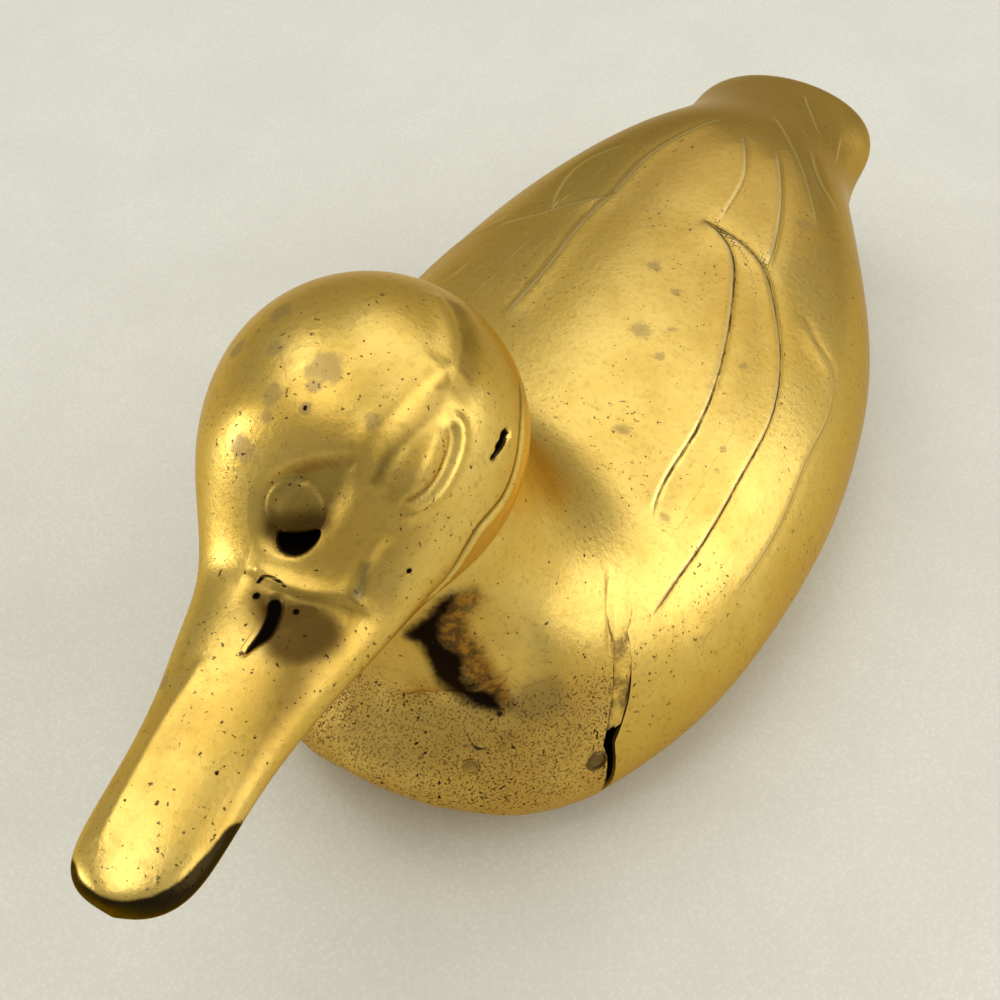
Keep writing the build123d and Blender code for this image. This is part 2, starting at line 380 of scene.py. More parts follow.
# Chased feather lines, seen from above in millimetres, with how deep each one is cut.
line_reach = 6.0
unmarked = -3.0
left_lines = [
    (1.0, [
        (4.8, 40.2), (10.9, 36.6), (13.8, 31.3), (16.8, 22.5), (19.5, 10.6), (20.0, 3.6), (20.0, -6.0),
        (20.6, -9.0)]),
    (1.0, [
        (4.8, 40.2), (16.5, 36.4), (18.4, 34.1), (20.8, 30.4), (24.3, 24.0), (26.1, 18.7), (27.1, 13.4),
        (27.3, 7.0), (27.3, 1.7), (27.1, -6.9), (26.5, -13.2), (26.0, -19.4)]),
    (0.7, [
        (23.7, 34.3), (26.7, 31.7), (29.4, 31.0), (31.7, 27.1), (32.6, 21.2), (32.7, 16.1), (33.3, 9.1),
        (33.5, 0.3), (32.7, -8.1)]),
    (0.6, [(32.1, -13.4), (31.6, -17.2)]),
    (0.5, [(2.4, 61.1), (5.2, 55.6), (6.7, 51.4), (7.1, 47.3), (7.4, 40.8)]),
    (0.8, [(8.0, 61.0), (13.0, 50.8), (15.4, 43.2), (16.6, 36.5)]),
    (0.6, [(3.5, 71.4), (8.6, 65.1), (12.8, 60.1), (16.1, 55.5), (19.1, 51.2)]),
    (0.6, [(11.6, 67.3), (16.1, 60.6), (19.7, 59.1)]),
    (0.7, [(12.7, 80.6), (14.9, 72.1)]),
    (0.7, [(4.2, 84.7), (5.7, 81.7), (11.0, 74.0)]),
]
right_lines = [
    (1.0, [
        (-2.5, 63.5), (-5.9, 56.7), (-9.0, 48.3), (-9.7, 40.2), (-10.7, 33.9), (-10.8, 22.2), (-11.5, 9.4)]),
    (0.8, [(-9.5, 39.8), (-15.3, 35.7), (-17.5, 34.0), (-23.7, 31.3)]),
    (0.8, [(-13.2, 52.8), (-17.7, 48.8), (-17.2, 34.3)]),
    (0.6, [(-16.4, 27.7), (-17.5, 20.1)]),
    (0.6, [(-23.1, 21.8), (-24.4, 16.4)]),
    (0.6, [(-17.2, 18.8), (-18.5, 12.8)]),
]


def tree_of(skin, flip=False):
    rows, columns = skin.shape[:2]
    return BVHTree.FromPolygons(skin.reshape(-1, 3).tolist(), grid_faces(rows, columns, 0, flip))


def eased(values, low, high):
    """0 below low, 1 above high, and a smooth rise between them."""
    share = np.clip((values - low) / (high - low), 0.0, 1.0)
    return share * share * (3.0 - 2.0 * share)


def height_over(tree, points):
    """How far points stand outside a skin."""
    out = np.zeros(len(points))
    for i, point in enumerate(points):
        spot, normal, index, apart = tree.find_nearest(Vector(point))
        out[i] = math.copysign(apart, (Vector(point) - spot).dot(normal))
    return out


def run_together(skin, normals, tree, softness):
    """A skin lifted so that it flows into the skin of the tree."""
    points = skin.reshape(-1, 3)
    normals = normals.reshape(-1, 3)
    lift = np.zeros(len(points))
    near = np.ones(len(points), dtype=bool)
    apart = np.full(len(points), 99.0)
    for turn in range(4):
        chosen = np.nonzero(near)[0]
        apart[chosen] = height_over(tree, points[chosen] + normals[chosen] * lift[chosen, None])
        gap = apart - lift
        rising = np.maximum(softness - gap, 0.0) ** 2 / (4 * softness)
        passing = softness / 4 + np.minimum(-gap, 1.2) / 2 - np.maximum(-gap - 1.2, 0.0)
        lift = np.where(near, np.where(gap > 0.0, rising, np.maximum(passing, 0.0)), 0.0)
        near = apart < softness + 1.0
    return (points + normals * lift[:, None]).reshape(skin.shape)


arc_top = np.linspace(math.radians(-22), math.radians(202), 270)
arc_sole = np.linspace(math.radians(202), math.radians(338), 60)[1:-1]
body_angles = np.concatenate([arc_top, arc_sole])
body_skin = grounded(smoothed(body_rings(body_angles), 560))
columns = len(body_angles)

# the neck is drawn here too, because both body shells were filed to flow into it
neck_top_width = 24.0
neck_top_length = 26.0
neck_foot_width = 49.1
neck_foot_length = 43.1
neck_foot = np.array([0.0, -18.4, 16.8])
neck_head = np.array([-2.1, -33.5, 60.2])
neck_sections = [(0.00, 1.00), (0.14, 0.97), (0.28, 0.80), (0.42, 0.50), (0.56, 0.22), (0.70, 0.05),
                 (0.84, 0.00), (1.00, 0.00)]
neck_columns = 240
neck_angles = np.linspace(0.0, 2 * math.pi, neck_columns, endpoint=False)
neck_rings = []
for rise, flare in neck_sections:
    centre = neck_foot + rise * (neck_head - neck_foot)
    half_width = (neck_top_width + flare * (neck_foot_width - neck_top_width)) / 2
    half_length = (neck_top_length + flare * (neck_foot_length - neck_top_length)) / 2
    neck_rings.append(np.stack([centre[0] + half_width * np.cos(neck_angles),
                                centre[1] + half_length * np.sin(neck_angles),
                                np.full(neck_columns, centre[2])], axis=1))
neck_plain = smoothed(np.array(neck_rings), 300)
neck_tree = tree_of(neck_plain[::3, ::2])
body_tree = tree_of(body_skin[::2, ::2], True)


def crease_softness(skin):
    """How widely the neck and the body run together: tight in front, easy at the sides and back."""
    points = skin.reshape(-1, 3)
    turn = np.abs(np.arctan2(points[:, 0] * 0.8, -(points[:, 1] + 27.0)))
    return 0.8 + 5.7 * eased(turn, 0.75, 1.25) + 3.2 * eased(turn, 0.42, 0.12)


body_flow = run_together(body_skin, outward(body_skin, -1), neck_tree, crease_softness(body_skin))
neck_skin = run_together(neck_plain, outward(neck_plain), body_tree, crease_softness(neck_plain))
seam_depth = behind_seam(body_flow)
seam_place, body_run = cut_length(body_flow, seam_depth - seam_half(body_flow), True)
back_skin = respaced(body_flow, body_run, seam_place, body_run[-1], 270)
back_normals = outward(back_skin, -1)


def seen_on(tree, places):
    """Where the camera sees each of some picture places on a skin."""
    hits = [tree.ray_cast(*sight(x, y))[0] for x, y in places]
    return np.array([hit[:] for hit in hits if hit])


def fallen_on(tree, places):
    """Where each of some places on the plan lies on a skin."""
    return np.array([tree.ray_cast(Vector((x, y, 100.0)), Vector((0.0, 0.0, -1.0)))[0][:]
                     for x, y in places])


def beside_line(points, normals, corners, step=0.25, fade=1.5):
    """How far to the right of a line each point lies, and how fully the line is cut there."""
    fine = smoothed(corners[:, None, :], 12 * len(corners))[:, 0, :]
    run = np.concatenate([[0.0], np.cumsum(np.linalg.norm(np.diff(fine, axis=0), axis=1))])
    wanted = np.arange(0.0, run[-1], step)
    spots = np.stack([np.interp(wanted, run, fine[:, k]) for k in range(3)], axis=1)
    ways = np.gradient(spots, axis=0)
    ways /= np.linalg.norm(ways, axis=1, keepdims=True)
    depths = np.clip(np.minimum(wanted, run[-1] - wanted) / fade, 0.0, 1.0)
    tree = KDTree(len(spots))
    for i, spot in enumerate(spots):
        tree.insert(spot, i)
    tree.balance()
    inside_low = points > spots.min(axis=0) - line_reach
    inside_high = points < spots.max(axis=0) + line_reach
    chosen = np.nonzero((inside_low & inside_high).all(axis=1))[0]
    nearest = np.array([tree.find(point)[1] for point in points[chosen]], dtype=int)
    offset = points[chosen] - spots[nearest]
    way = ways[nearest]
    beyond = np.abs((offset * way).sum(axis=1))
    apart = np.linalg.norm(offset, axis=1)
    side = np.full(len(points), line_reach)
    cut = np.zeros(len(points))
    side[chosen] = np.clip((offset * np.cross(way, normals[chosen])).sum(axis=1), -line_reach, line_reach)
    cut[chosen] = depths[nearest] * np.clip(1.0 - (beyond - step) / 0.5, 0.0, 1.0) * (apart < line_reach)
    return side, cut


def ridge(line, width, place=0.0):
    """1 along a line, or along a place to its right, with a soft fall on both sides."""
    side, cut = line
    return cut * np.exp(-((side - place) / width) ** 2)


def line_mark(points, normals, line, half_width):
    """How far inside a narrow mark along a line on the skin each point lies, below 0 outside it."""
    side, cut = beside_line(points, normals, line, fade=0.6)
    return np.where(cut > 0.05, half_width * cut - np.abs(side), unmarked)


def rounded(ring):
    """A closed outline with its corners cut twice."""
    for turn in range(2):
        after = np.roll(ring, -1, axis=0)
        ring = np.stack([0.75 * ring + 0.25 * after, 0.25 * ring + 0.75 * after], axis=1).reshape(-1, 2)
    return ring


def depth_inside(ring, spots):
    """How far inside a closed flat outline each spot lies, below 0 outside it."""
    spots = spots[:, None, :]
    edge = np.roll(ring, -1, axis=0) - ring
    part = spots - ring
    share = np.clip((part * edge).sum(axis=2) / (edge ** 2).sum(axis=1), 0.0, 1.0)
    apart = np.linalg.norm(part - share[..., None] * edge, axis=2).min(axis=1)
    slope = edge[:, 0] / np.where(np.abs(edge[:, 1]) < 1e-9, 1e-9, edge[:, 1])
    level = (ring[:, 1] > spots[..., 1]) != (np.roll(ring, -1, axis=0)[:, 1] > spots[..., 1])
    crossed = level & (part[..., 0] < part[..., 1] * slope)
    return np.where(crossed.sum(axis=1) % 2 == 1, apart, -apart)


def inside_shape(points, normals, corners):
    """How far inside a closed shape on the skin each point lies, below 0 outside it."""
    centre = corners.mean(axis=0)
    axes = np.linalg.svd(corners - centre)[2]
    out = axes[2] * math.copysign(1.0, axes[2] @ away)
    ring = rounded((corners - centre) @ axes[:2].T)
    offset = points - centre
    reach = np.linalg.norm(ring, axis=1).max() - unmarked
    near = np.nonzero((np.linalg.norm(offset, axis=1) < reach) & (normals @ out > 0.1))[0]
    depth = np.full(len(points), unmarked)
    depth[near] = depth_inside(ring, offset[near] @ axes[:2].T)
    return depth


def painted(points, normals, corners):
    """How many millimetres inside an outline drawn on the camera's picture each point lies."""
    ring = rounded(np.array(corners, dtype=float))
    step = camera_data.sensor_width / 1000 / camera_lens
    offset = points - camera_target - away * camera_distance
    range_out = -(offset @ away)
    flat = np.stack([500 + offset @ picture_right / range_out / step,
                     500 - offset @ picture_up / range_out / step], axis=1)
    close = ((flat > ring.min(axis=0) - 25) & (flat < ring.max(axis=0) + 25)).all(axis=1)
    near = np.nonzero(close & ((normals * offset).sum(axis=1) < 0.0))[0]
    depth = np.full(len(points), unmarked)
    depth[near] = depth_inside(ring, flat[near]) * step * range_out[near]
    return np.maximum(depth, unmarked)


def inside_dots(points, spots):
    """How far inside the nearest of some round spots each point lies, below 0 outside them."""
    return np.max([radius - np.linalg.norm(points - centre, axis=1) for centre, radius in spots], axis=0)


def near_spots(points, spots):
    """1 at the middle of the nearest of some round spots and 0 at its edge and beyond."""
    shares = [1.0 - np.linalg.norm(points - centre, axis=1) / radius for centre, radius in spots]
    return np.maximum(np.max(shares, axis=0), 0.0)


def dots_on(tree, *dots):
    """Round spots on a skin, given by their place in the picture and their radius in millimetres."""
    return [(seen_on(tree, [(x, y)])[0], radius) for x, y, radius in dots]


back_tree = tree_of(back_skin[::2, ::2], True)
flat_back = back_skin.reshape(-1, 3)
back_out = back_normals.reshape(-1, 3)
feather_lines = [(depth, fallen_on(back_tree, corners)) for depth, corners in left_lines]
feather_lines += [(depth, fallen_on(back_tree, corners[::-1])) for depth, corners in right_lines]
feather_lines += [(depth, fallen_on(back_tree, [(-x, y) for x, y in corners[::-1]]))
                  for depth, corners in left_lines[2:4]]
line_side = np.full(len(flat_back), line_reach)
line_cut, line_shade, feather_relief = np.zeros((3, len(flat_back)))
for turn, (depth, corners) in enumerate(feather_lines):
    side, cut = beside_line(flat_back, back_out, corners, 0.35, 3.0)
    cut = np.where(back_out[:, 2] > -0.1, cut * depth, 0.0)
    feather_relief += 0.27 * ridge((side, cut), 2.2) * eased(side, -0.25, 0.55)
    feather_relief -= 0.18 * ridge((side, cut), 1.5) * eased(side, 0.35, -0.35)
    nearer = (cut > 0.0) & (np.abs(side) < np.abs(line_side))
    line_side = np.where(nearer, side, line_side)
    line_cut = np.where(nearer, cut, line_cut)
    line_shade = np.where(nearer, 1.0 if turn < 2 else 0.4, line_shade)
flat_back = flat_back + back_out * np.clip(feather_relief, -0.26, 0.36)[:, None]
back_patina = near_spots(flat_back, dots_on(
    back_tree, (655, 266, 1.8), (676, 293, 1.2), (641, 330, 2.6), (660, 357, 1.4), (622, 428, 1.6),
    (665, 518, 1.2), (805, 224, 2.2), (744, 366, 1.0), (716, 470, 0.8), (724, 450, 0.8), (671, 330, 1.2)))


def shell_with_wall(outer, inner_rows, hollow_end, flip):
    """Outer rows from the rim, then an inner wall from the same rim, closed by one point at each end."""
    rows, columns = outer.shape[:2]
    chosen = np.linspace(0, int(rows * hollow_end), inner_rows).astype(int)
    inner = outer[chosen] - outward(outer, -1 if flip else 1)[chosen] * casting_wall
    points = np.concatenate([outer.reshape(-1, 3), [outer[-1].mean(axis=0)], inner.reshape(-1, 3),
                             [inner[-1].mean(axis=0)]])
    pole = rows * columns
    base = pole + 1
    end = base + inner_rows * columns
    faces = grid_faces(rows, columns, 0, flip)
    faces += grid_faces(inner_rows, columns, base, not flip)
    for j in range(columns):
        k = (j + 1) % columns
        tip = ((rows - 1) * columns + j, (rows - 1) * columns + k, pole)
        inner_tip = (base + (inner_rows - 1) * columns + k, base + (inner_rows - 1) * columns + j, end)
        rim = (j, base + j, base + k, k)
        faces += [face[::-1] if flip else face for face in (tip, inner_tip, rim)]
    return points, faces


def padded(values, total, fill=0.0):
    return np.concatenate([values, np.full(total - len(values), fill)])


back_points, back_faces = shell_with_wall(flat_back.reshape(back_skin.shape), 12, 0.8, True)


def brass(name):
    """Cast brass, filed and handled: a warm yellow, painted darker towards the tail as painted shade."""
    material, shader, place = new_finish(name)
    cloud = place.noise(45.0, 5.0, 0.65)
    fine = place.noise(1100.0, 4.0, 0.7)
    bright_yellow = (0.78, 0.55, 0.130, 1.0)
    warm_yellow = (0.66, 0.42, 0.065, 1.0)
    fine_brown = (0.42, 0.25, 0.035, 1.0)
    tail_shade_brown = (0.42, 0.26, 0.050, 1.0)
    speck_brown = (0.13, 0.08, 0.025, 1.0)
    base = cloud.between(0.34, 0.66).mixed(bright_yellow, warm_yellow)
    base = (fine.between(0.50, 0.72) * 0.45).mixed(base, fine_brown)
    # painted shade: the rear of the duck is painted browner, for the dark that the tail reflects
    rearward = place.node("ShaderNodeSeparateXYZ", 1, None, {0: place})
    base = (rearward.between(-0.005, 0.07) * 0.75).mixed(base, tail_shade_brown)
    specks = place.ragged(1500.0, place.noise(60.0).between(0.40, 0.70) * 0.075)
    base = (specks * 0.75).mixed(base, speck_brown)
    height = fine * 0.35 - specks
    rough = 0.30 + 0.14 * cloud.between(0.35, 0.70) + specks * 0.25
    shader.inputs["Metallic"].default_value = 1.0
    shader.inputs["Specular Tint"].default_value = (0.80, 0.60, 0.22, 1.0)
    shader.inputs["Coat Roughness"].default_value = 0.25
    return material, shader, place, base, rough, height


def settle(shader, base, rough, height, dull, depth=0.15):
    """Give the shader its colour, its roughness and its relief; no lacquer gloss where it is dull."""
    feed(shader, Base_Color=base, Roughness=rough, Coat_Weight=(1.0 - dull) * 0.35,
         Normal=height.node("ShaderNodeBump", 0, None, {"Height": height, "Distance": depth * MM}))


grey_brown = (0.24, 0.18, 0.08, 1.0)
hollow_shade_black = (0.006, 0.004, 0.003, 1.0)
back_brass, shader, place, base, rough, height = brass("chased_brass")
side = place.kept("line_side")
# painted shade: each chased line is painted dark down its groove, less so on the minor lines
groove_shade = (side + (place.noise(700.0) - 0.5) * 0.35)
groove_shade = groove_shade.maths("ABSOLUTE", groove_shade).between(0.26, 0.05) * place.kept("line_cut")
groove_shade = groove_shade * (0.45 + 0.55 * place.noise(300.0).between(0.35, 0.55)) * place.kept("line_shade")
# painted highlight: a bright strip along the lip beside each line
edge = (side.between(0.05, 0.30) - side.between(0.35, 0.9)) * place.kept("line_cut")
patina = place.frayed("patina", 2.2, 0.25, 0.75, 420.0, 5.0, 0.75) * place.kept("patina").between(0.0, 0.2)
base = (patina * 0.45).mixed(base, grey_brown)
base = (edge * (0.85 - 0.45 * place.kept("line_shade"))).mixed(base, (0.95, 0.80, 0.40, 1.0))
base = (groove_shade * 0.9).mixed(base, (0.07, 0.04, 0.012, 1.0))
# painted shade: the inner wall of the hollow shell is painted near black
inner = place.kept("inner").between(0.05, 0.30)
base = inner.mixed(base, hollow_shade_black)
settle(shader, base, rough + groove_shade * 0.3 + patina * 0.12 + inner * 0.4, height - groove_shade * 1.4,
       groove_shade.most(inner))
finished_piece("back_shell", back_points, back_faces, back_brass, "body_casting",
               {"line_side": padded(line_side, len(back_points), line_reach),
                "line_cut": padded(line_cut, len(back_points)),
                "line_shade": padded(line_shade, len(back_points)),
                "inner": padded(np.zeros(len(flat_back) + 1), len(back_points), 1.0),
                "patina": padded(back_patina, len(back_points))})


# Breast shell: the front casting of the body, with a collar that rises into the neck. Its skin was
# never polished, so it keeps the dents and dark pits of the sand mould.
def uncovered(faces, points, tree):
    """The faces that don't lie sunk in another skin."""
    sunk = set(np.nonzero(height_over(tree, points) < -0.9)[0].tolist())
    return [face for face in faces if not sunk.issuperset(face)]


joint_spot = np.array([0.0, -37.9, 27.6])
joint_way = np.array([0.0, -0.5, 0.866])
neck_depth = (neck_skin - joint_spot) @ joint_way
front_place, _ = cut_length(body_flow, seam_depth + seam_half(body_flow), True)
breast_rows = 128
breast_skin = respaced(body_flow, body_run, front_place, np.zeros(columns), breast_rows)
breast_normals = outward(breast_skin)
breast_flat = breast_skin.reshape(-1, 3)
breast_points, breast_faces = shell_with_wall(breast_skin, 8, 0.8, False)
breast_faces = uncovered(breast_faces, breast_flat, neck_tree)

joint_place, neck_run = cut_length(neck_skin, neck_depth, False)
collar_rows = 80
collar_skin = respaced(neck_skin, neck_run, np.zeros(neck_columns), joint_place, collar_rows)
collar_normals = outward(collar_skin)
collar_flat = collar_skin.reshape(-1, 3)
collar_faces = uncovered(grid_faces(collar_rows, neck_columns), collar_flat, body_tree)
shift = len(breast_points)
breast_faces += [tuple(corner + shift for corner in face) for face in collar_faces]
breast_points = np.concatenate([breast_points, collar_flat])
front_tree = BVHTree.FromPolygons(breast_points.tolist(), breast_faces)
front_picked = np.concatenate([np.arange(len(breast_flat)), shift + np.arange(len(collar_flat))])
front_flat = breast_points[front_picked]
front_out = np.concatenate([breast_normals.reshape(-1, 3), collar_normals.reshape(-1, 3)])

# where the torch left a black crust low on the neck and a brown scorch round it, with a painted olive shade
# in the crease beside them
crust_shape = [
    (398, 638), (418, 622), (438, 604), (452, 588), (459, 595), (448, 612), (440, 628), (443, 643),
    (455, 650), (463, 663), (462, 676), (474, 683), (490, 692), (502, 705), (505, 714), (488, 710),
    (468, 704), (450, 695), (438, 684), (430, 668), (424, 654), (416, 644)]
scorch_shape = [
    (448, 590), (462, 584), (480, 584), (489, 594), (486, 606), (472, 612), (470, 628), (484, 645),
    (498, 668), (512, 692), (520, 712), (506, 716), (486, 700), (464, 684), (452, 660), (434, 646),
    (410, 642), (398, 636), (422, 618)]
olive_shade_shape = [
    (500, 700), (520, 680), (548, 672), (568, 682), (572, 700), (562, 718), (536, 722), (510, 718)]


def dented(points):
    """Shallow dents of the mould, with none at the table, at the neck joint or above the breast."""
    dents = np.array([noise.noise(Vector(point) * 0.16) * 0.22 + noise.noise(Vector(point) * 0.5) * 0.07
                      for point in points])
    from_joint = np.abs((points - joint_spot) @ joint_way)
    level = points[:, 2]
    return dents * eased(level, 0.8, 4.0) * eased(level, 33.0, 24.0) * eased(from_joint, 0.3, 3.0)


def low_down(points):
    """1 where the skin was left as it was cast, low on the front, and 0 where it was filed."""
    return eased(points[:, 2], 31.0, 23.0) * (0.15 + 0.85 * eased(points[:, 2], 6.0, 12.0))


def burnt_on(points, normals):
    """The crust, the scorch and the painted olive shade at each point, as values for its material."""
    return {"crust": painted(points, normals, crust_shape), "scorch": painted(points, normals, scorch_shape),
            "olive_shade_and_moss": painted(points, normals, olive_shade_shape)}


def front_line(fade, *places):
    return beside_line(front_flat, front_out, seen_on(front_tree, places), fade=fade)


torn = front_line(2.0, (436, 674), (448, 687), (462, 696), (478, 701), (496, 710))
notch = front_line(2.5, (610, 566), (609, 590), (610, 617), (610, 640), (610, 668))
arc_line = seen_on(front_tree, [(467, 731), (470, 740), (475, 747), (483, 749), (490, 745)])
arc_mark = line_mark(front_flat, front_out, arc_line, 0.22)
front_relief = (dented(front_flat) - 0.45 * ridge(torn, 0.7) - 0.20 * ridge(notch, 0.40)
                - 0.15 * eased(arc_mark, -0.3, 0.2))
breast_points[front_picked] += front_out * front_relief[:, None]
notch_mark = np.where(notch[1] > 0.05, 0.07 * notch[1] - np.abs(notch[0]), unmarked)
pin_holes = dots_on(front_tree, (500, 714, 0.40), (488, 753, 0.3), (515, 665, 0.3), (504, 666, 0.25))
# painted shade: the seam groove, the arc, the pin holes and the rings round the plugs are painted black
front_hole_shade = np.maximum.reduce([arc_mark, notch_mark, inside_dots(front_flat, pin_holes)])
plug_half = [0.95, 1.25, 0.95, 1.25]
plug_fits = [front_tree.find_nearest(Vector(place))[:2] for place in (
    (13.8, -43.8, 17.4), (26.2, -34.2, 14.8), (-13.8, -43.8, 17.4), (-26.2, -34.2, 14.8))]
for (spot, way), half in zip(plug_fits, plug_half):
    from_ring = np.abs(np.linalg.norm(front_flat - np.array(spot[:]), axis=1) - half * 1.15)
    front_hole_shade = np.maximum(front_hole_shade, 0.16 - from_ring)
front_readings = burnt_on(front_flat, front_out)
moss = near_spots(front_flat, dots_on(front_tree, (509, 735, 1.3), (503, 744, 1.3)))
front_readings["olive_shade_and_moss"] = np.maximum(front_readings["olive_shade_and_moss"], moss * 2.2 - 1.0)


def kept_on_front(values, fill=0.0):
    whole = np.full(len(breast_points), fill)
    whole[front_picked] = values
    return whole


def scorched(place, base, rough, height):
    """The brass where a torch burnt it, a brown scorch and a black crust, with a painted olive shade beside
    them.
    """
    wave = place.noise(230.0, 5.0, 0.7) - 0.5
    # painted shade: olive brown where the crease under the neck lies in shade, together with the real moss
    # stains
    olive_shade_and_moss = (place.kept("olive_shade_and_moss") + wave * 1.6).between(-0.9, 1.6)
    base = (olive_shade_and_moss * 0.55).mixed(base, (0.26, 0.17, 0.045, 1.0))
    scorch = (place.kept("scorch") + wave * 2.4).between(-0.9, 1.5)
    rust = (0.40, 0.18, 0.022, 1.0)
    dark_rust = (0.11, 0.050, 0.012, 1.0)
    brown = place.noise(900.0, 4.0, 0.65).between(0.40, 0.60).mixed(rust, dark_rust)
    base = (scorch * 0.9).mixed(base, brown)
    crust = (place.kept("crust") + wave * 2.4).between(-0.8, 0.8)
    base = crust.mixed(base, (0.014, 0.008, 0.005, 1.0))
    bright = place.pits(1100.0, 0.06, 0.25) * scorch
    base = bright.mixed(base, (0.9, 0.75, 0.4, 1.0))
    height = height + (scorch + crust) * place.noise(1100.0, 3.0, 0.6)
    return base, rough + scorch * 0.15 + crust * 0.2, height, crust.most(scorch * 0.7)


def pitted(place, base):
    """The brass as it left the mould low on the front: duller, and full of small dark pits."""
    low = place.kept("low")
    cloud = place.noise(95.0, 4.0, 0.65).between(0.40, 0.66)
    base = ((cloud * 0.35 + 0.2) * low).mixed(base, (0.54, 0.32, 0.065, 1.0))
    crowd = place.noise(85.0, 3.0, 0.6).between(0.38, 0.62)
    holes = place.pits(620.0, 0.24, 0.30) * low * crowd.between(0.3, 0.8)
    specks = place.ragged(1500.0, low * (0.03 + 0.09 * crowd))
    dust = place.ragged(3000.0, low * 0.17)
    return base, holes.most(specks.most(dust * 0.6)), low


pit_black = (0.060, 0.030, 0.024, 1.0)
breast_brass, shader, place, base, rough, height = brass("rough_cast_brass")
base, pits, low = pitted(place, base)
base, rough, height, burnt = scorched(place, base, rough, height)
base = (pits * 0.9).mixed(base, pit_black)
# painted shade: black in the holes, grooves and crevices
hole_shade = place.frayed("hole_shade", 0.5, -0.02, 0.16, 800.0)
base = (hole_shade * 0.9).mixed(base, (0.02, 0.012, 0.008, 1.0))
# painted shade: the inner wall of the hollow shell is painted near black
inner = place.kept("inner").between(0.05, 0.30)
base = inner.mixed(base, hollow_shade_black)
settle(shader, base, rough + low * 0.09 + pits * 0.3 + hole_shade * 0.3 + inner * 0.4, height - pits * 1.3,
       burnt.most(pits.most(inner)), 0.2)
front_inner = np.zeros(len(breast_points))
front_inner[len(breast_flat) + 1:shift] = 1.0
finished_piece("breast_shell", breast_points, breast_faces, breast_brass, "breast_casting",
               {"hole_shade": kept_on_front(front_hole_shade, unmarked), "low": kept_on_front(low_down(front_flat)),
                "inner": front_inner,
                **{label: kept_on_front(values, unmarked) for label, values in front_readings.items()}})


# Seam braze: the strip of hard solder that joins the two body shells, filed off roughly. It was left
# out low on the duck's left side, where the seam stands open.
strip_rows = 9
gap_side = 20.8
gap_top = 18.4
strip_skin = respaced(body_flow, body_run, front_place, seam_place, strip_rows)
strip_normals = outward(strip_skin, -1)
strip_across = np.linspace(-1.0, 1.0, strip_rows)[:, None]
strip_seen = eased(strip_skin[..., 2], 32.0, 27.0)
strip_rough = np.array([noise.noise(Vector(point) * 0.9) for point in strip_skin.reshape(-1, 3)])
strip_ends = np.where(strip_across > 0.0, eased(strip_skin[..., 2], 26.0, 22.0), 0.7)
strip_sunk = (0.03 + 0.22 * (np.abs(strip_across) > 0.9) * strip_ends) * strip_seen
strip_flat = (strip_skin.reshape(-1, 3) - strip_normals.reshape(-1, 3)
              * (strip_sunk.reshape(-1) - 0.16 * strip_rough * strip_seen.reshape(-1))[:, None])
strip_flat[:, 2] = np.maximum(strip_flat[:, 2], 0.0)
strip_count = len(strip_flat)
strip_points = np.concatenate([strip_flat, strip_flat - strip_normals.reshape(-1, 3) * casting_wall])
open_gap = (strip_points[:, 0] > gap_side) & (strip_points[:, 2] < gap_top)
strip_faces = grid_faces(strip_rows, columns, 0, True) + grid_faces(strip_rows, columns, strip_count)
for j in range(columns):
    k = (j + 1) % columns
    last = (strip_rows - 1) * columns
    strip_faces.append((k, strip_count + k, strip_count + j, j))
    strip_faces.append((last + j, strip_count + last + j, strip_count + last + k, last + k))
strip_faces = [face for face in strip_faces if not any(open_gap[list(face)])]
# painted shade: how near each point lies to the strip's edges, where the seam grooves are painted dark
strip_edge_shade = np.where(strip_across < 0.0, 0.12 + 1.8 * (1.0 + strip_across),
                      1.0 - strip_across + eased(strip_skin[..., 2], 22.0, 26.0))
strip_brass, shader, place, base, rough, height = brass("filed_braze")
seen = place.kept("seen")
crust = place.noise(420.0, 4.0, 0.65)
base = (crust.between(0.40, 0.62) * seen * 0.75).mixed(base, (0.17, 0.10, 0.03, 1.0))
# painted shade: dark along the strip's edges, in the grooves of the seam
rim = place.frayed("edge", 0.7, 0.42, 0.12, 500.0) * seen
rim = rim * (0.35 + 0.65 * place.noise(260.0, 3.0).between(0.40, 0.55))
base = (rim * 0.9).mixed(base, (0.03, 0.017, 0.007, 1.0))
settle(shader, base, rough + seen * 0.12 + rim * 0.3, height + crust * seen * 1.2 - rim, rim, 0.2)
finished_piece("seam_braze", strip_points, strip_faces, strip_brass, "breast_seam_braze",
               {"seen": padded(strip_seen.reshape(-1), len(strip_points)),
                "edge": padded(strip_edge_shade.reshape(-1), len(strip_points), 1.0)})


# Head: a hollow cast ball with the bill in one piece, its eyes cut into it with gravers, and a neck
# stub that stands in the collar. It was set on with a slight turn and handled bright on the crown.
head_width = 34.2
head_length = 36.5
head_height = 34.4
head_spot = np.array([-2.1, -36.7, 60.2])
head_turn = math.radians(11.0)
bill_length = 35.2
ball_sections = [
    (-1.00, 0.08, 0.06, 0.10), (-0.97, 0.30, 0.28, 0.30), (-0.85, 0.58, 0.56, 0.55),
    (-0.62, 0.82, 0.80, 0.80), (-0.30, 0.97, 0.96, 0.96), (0.00, 1.00, 1.00, 1.00),
    (0.30, 0.95, 0.95, 0.94), (0.60, 0.83, 0.80, 0.82),
]
bill_sections = [
    (0.06, 0.86, 0.72), (0.22, 0.55, 0.54), (0.42, 0.22, 0.36), (0.62, 0.05, 0.21), (0.80, 0.00, 0.09),
    (0.89, -0.10, 0.03), (0.95, -0.34, -0.03), (0.985, -0.72, -0.12), (1.00, -1.25, -0.24),
]
head_angles = np.concatenate([np.linspace(math.radians(-15), math.radians(195), 220),
                              np.linspace(math.radians(195), math.radians(345), 70)[1:-1]])
head_columns = len(head_angles)
head_rings = []
